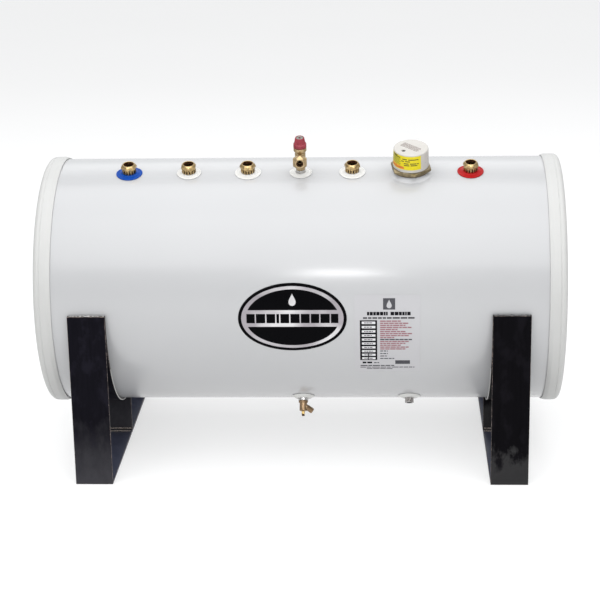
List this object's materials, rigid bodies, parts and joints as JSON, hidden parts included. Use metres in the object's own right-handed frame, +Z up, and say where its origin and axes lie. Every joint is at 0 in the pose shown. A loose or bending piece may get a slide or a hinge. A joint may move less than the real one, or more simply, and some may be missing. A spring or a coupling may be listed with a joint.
{
  "type": "tank water heater",
  "caption": "Horizontal insulated hot-water cylinder on cradle feet, with top pipe fittings, relief valve, immersion heater and drain cock.",
  "frame": {"origin": "on the floor, below the middle of the cylinder", "axes": "+X along the cylinder towards the hot outlet, -Y to the front, where the badge is, +Z up"},
  "size_m": [1.15, 0.5714, 0.7442],
  "materials": {
    "casing_paint": "gloss powder coat, off-white",
    "cap_plastic": "moulded, satin white",
    "foam": "rigid polyurethane foam",
    "stainless": "satin, light weld tint",
    "copper": "soft copper",
    "brass": "machined",
    "aged_brass": "cast, dull brown",
    "white_plastic": "moulded",
    "blue_plastic": "moulded",
    "red_plastic": "moulded",
    "red_knob_plastic": "moulded, ribbed",
    "spring_steel": "drawn wire or sheath",
    "rubber": "nitrile",
    "fibre": "pressed fibre",
    "phenolic": "moulded",
    "dark_screw": "blackened steel",
    "badge_film": "printed film, black and silver",
    "label_film": "printed clear film",
    "black_paint": "brushed on, semi-gloss"
  },
  "bodies": {
    "cylinder": {"casing": "casing_paint", "end_cap_left": "cap_plastic", "end_cap_right": "cap_plastic", "foam_insulation": "foam", "vessel_barrel": "stainless", "vessel_end_left": "stainless", "vessel_end_right": "stainless", "heat_coil": "stainless", "cold_dip_pipe": "stainless", "relief_tail": "stainless", "relief_probe": "stainless", "heater_boss": "stainless", "drain_tail": "stainless", "sensor_pocket": "stainless", "cold_inlet_tail": "brass", "cold_inlet_rosette": "blue_plastic", "coil_flow_tail": "brass", "coil_flow_rosette": "white_plastic", "coil_return_tail": "brass", "coil_return_rosette": "white_plastic", "secondary_return_tail": "brass", "secondary_return_rosette": "white_plastic", "hot_outlet_tail": "brass", "hot_outlet_rosette": "red_plastic", "relief_rosette": "white_plastic", "drain_rosette": "white_plastic", "sensor_rosette": "white_plastic", "relief_body": "brass", "relief_spring": "spring_steel", "heater_element": "spring_steel", "heater_gasket": "fibre", "heater_head": "aged_brass", "drain_body": "aged_brass", "thermostat": "phenolic", "terminal_block": "phenolic", "badge": "badge_film", "rating_label": "label_film", "foot_left_frame": "black_paint", "foot_left_saddle": "black_paint", "foot_right_frame": "black_paint", "foot_right_saddle": "black_paint"},
    "cold_inlet_olive": {"cold_inlet_olive": "copper"},
    "cold_inlet_nut": {"cold_inlet_nut": "brass"},
    "coil_flow_olive": {"coil_flow_olive": "copper"},
    "coil_flow_nut": {"coil_flow_nut": "brass"},
    "coil_return_olive": {"coil_return_olive": "copper"},
    "coil_return_nut": {"coil_return_nut": "brass"},
    "secondary_return_olive": {"secondary_return_olive": "copper"},
    "secondary_return_nut": {"secondary_return_nut": "brass"},
    "hot_outlet_olive": {"hot_outlet_olive": "copper"},
    "hot_outlet_nut": {"hot_outlet_nut": "brass"},
    "relief_outlet_olive": {"relief_outlet_olive": "copper"},
    "relief_outlet_nut": {"relief_outlet_nut": "brass"},
    "relief_stem": {"relief_stem": "stainless"},
    "relief_cap": {"relief_cap": "red_knob_plastic"},
    "drain_washer": {"drain_washer": "rubber"},
    "drain_spindle": {"drain_spindle": "aged_brass"},
    "heater_cover": {"heater_cover": "white_plastic"},
    "cover_screw": {"cover_screw": "dark_screw"},
    "thermostat_dial": {"thermostat_dial": "red_plastic"}
  },
  "joints": [
    {"name": "cold_inlet_olive_lift", "type": "slide", "parent": "cylinder", "child": "cold_inlet_olive", "axis": [0, -0.2807, 0.9598], "range_m": [0, 0.00451]},
    {"name": "cold_inlet_nut_turn", "type": "hinge", "parent": "cold_inlet_olive", "child": "cold_inlet_nut", "pos_m": [-0.381, -0.08224, 0.67422], "axis": [0, -0.2807, 0.9598], "range_deg": [0, 1080]},
    {"name": "coil_flow_olive_lift", "type": "slide", "parent": "cylinder", "child": "coil_flow_olive", "axis": [0, -0.2807, 0.9598], "range_m": [0, 0.00451]},
    {"name": "coil_flow_nut_turn", "type": "hinge", "parent": "coil_flow_olive", "child": "coil_flow_nut", "pos_m": [-0.248, -0.08224, 0.67422], "axis": [0, -0.2807, 0.9598], "range_deg": [0, 1080]},
    {"name": "coil_return_olive_lift", "type": "slide", "parent": "cylinder", "child": "coil_return_olive", "axis": [0, -0.2807, 0.9598], "range_m": [0, 0.00451]},
    {"name": "coil_return_nut_turn", "type": "hinge", "parent": "coil_return_olive", "child": "coil_return_nut", "pos_m": [-0.117, -0.08224, 0.67422], "axis": [0, -0.2807, 0.9598], "range_deg": [0, 1080]},
    {"name": "secondary_return_olive_lift", "type": "slide", "parent": "cylinder", "child": "secondary_return_olive", "axis": [0, -0.2807, 0.9598], "range_m": [0, 0.00451]},
    {"name": "secondary_return_nut_turn", "type": "hinge", "parent": "secondary_return_olive", "child": "secondary_return_nut", "pos_m": [0.114, -0.08224, 0.67422], "axis": [0, -0.2807, 0.9598], "range_deg": [0, 1080]},
    {"name": "hot_outlet_olive_lift", "type": "slide", "parent": "cylinder", "child": "hot_outlet_olive", "axis": [0, -0.2807, 0.9598], "range_m": [0, 0.00451]},
    {"name": "hot_outlet_nut_turn", "type": "hinge", "parent": "hot_outlet_olive", "child": "hot_outlet_nut", "pos_m": [0.374, -0.08224, 0.67422], "axis": [0, -0.2807, 0.9598], "range_deg": [0, 1080]},
    {"name": "relief_outlet_olive_slide", "type": "slide", "parent": "cylinder", "child": "relief_outlet_olive", "axis": [0, -0.9598, -0.2807], "range_m": [0, 0.00451]},
    {"name": "relief_outlet_nut_turn", "type": "hinge", "parent": "relief_outlet_olive", "child": "relief_outlet_nut", "pos_m": [0, -0.08813, 0.69438], "axis": [0, -0.9598, -0.2807], "range_deg": [0, 1080]},
    {"name": "relief_stem_lift", "type": "slide", "parent": "cylinder", "child": "relief_stem", "axis": [0, -0.2807, 0.9598], "range_m": [0, 0.00251], "deforming": ["relief_spring"]},
    {"name": "relief_cap_turn", "type": "hinge", "parent": "relief_stem", "child": "relief_cap", "pos_m": [0, -0.09823, 0.72893], "axis": [0, -0.2807, 0.9598], "range_deg": [0, 90]},
    {"name": "drain_washer_slide", "type": "slide", "parent": "cylinder", "child": "drain_washer", "axis": [0, -0.5, -0.866], "range_m": [0, 0.00251]},
    {"name": "drain_spindle_turn", "type": "hinge", "parent": "drain_washer", "child": "drain_spindle", "pos_m": [0, -0.155, 0.12453], "axis": [0, -0.5, -0.866], "range_deg": [0, 720]},
    {"name": "heater_cover_lift", "type": "slide", "parent": "cylinder", "child": "heater_cover", "axis": [0, -0.2807, 0.9598], "range_m": [0, 0.09]},
    {"name": "cover_screw_turn", "type": "hinge", "parent": "heater_cover", "child": "cover_screw", "pos_m": [0.2265, -0.10626, 0.70471], "axis": [0, -0.2807, 0.9598], "range_deg": [0, 1080]},
    {"name": "thermostat_dial_turn", "type": "hinge", "parent": "cylinder", "child": "thermostat_dial", "pos_m": [0.255, -0.08761, 0.69974], "axis": [0, -0.2807, 0.9598], "range_deg": [-135, 135]}
  ],
  "couplings": [
    {"joint": "cold_inlet_olive_lift", "follows": "cold_inlet_nut_turn", "m_per_rad": 0.00023873},
    {"joint": "coil_flow_olive_lift", "follows": "coil_flow_nut_turn", "m_per_rad": 0.00023873},
    {"joint": "coil_return_olive_lift", "follows": "coil_return_nut_turn", "m_per_rad": 0.00023873},
    {"joint": "secondary_return_olive_lift", "follows": "secondary_return_nut_turn", "m_per_rad": 0.00023873},
    {"joint": "hot_outlet_olive_lift", "follows": "hot_outlet_nut_turn", "m_per_rad": 0.00023873},
    {"joint": "relief_outlet_olive_slide", "follows": "relief_outlet_nut_turn", "m_per_rad": 0.00023873},
    {"joint": "relief_stem_lift", "follows": "relief_cap_turn", "m_per_rad": 0.0015915},
    {"joint": "drain_washer_slide", "follows": "drain_spindle_turn", "m_per_rad": 0.00019894}
  ]
}
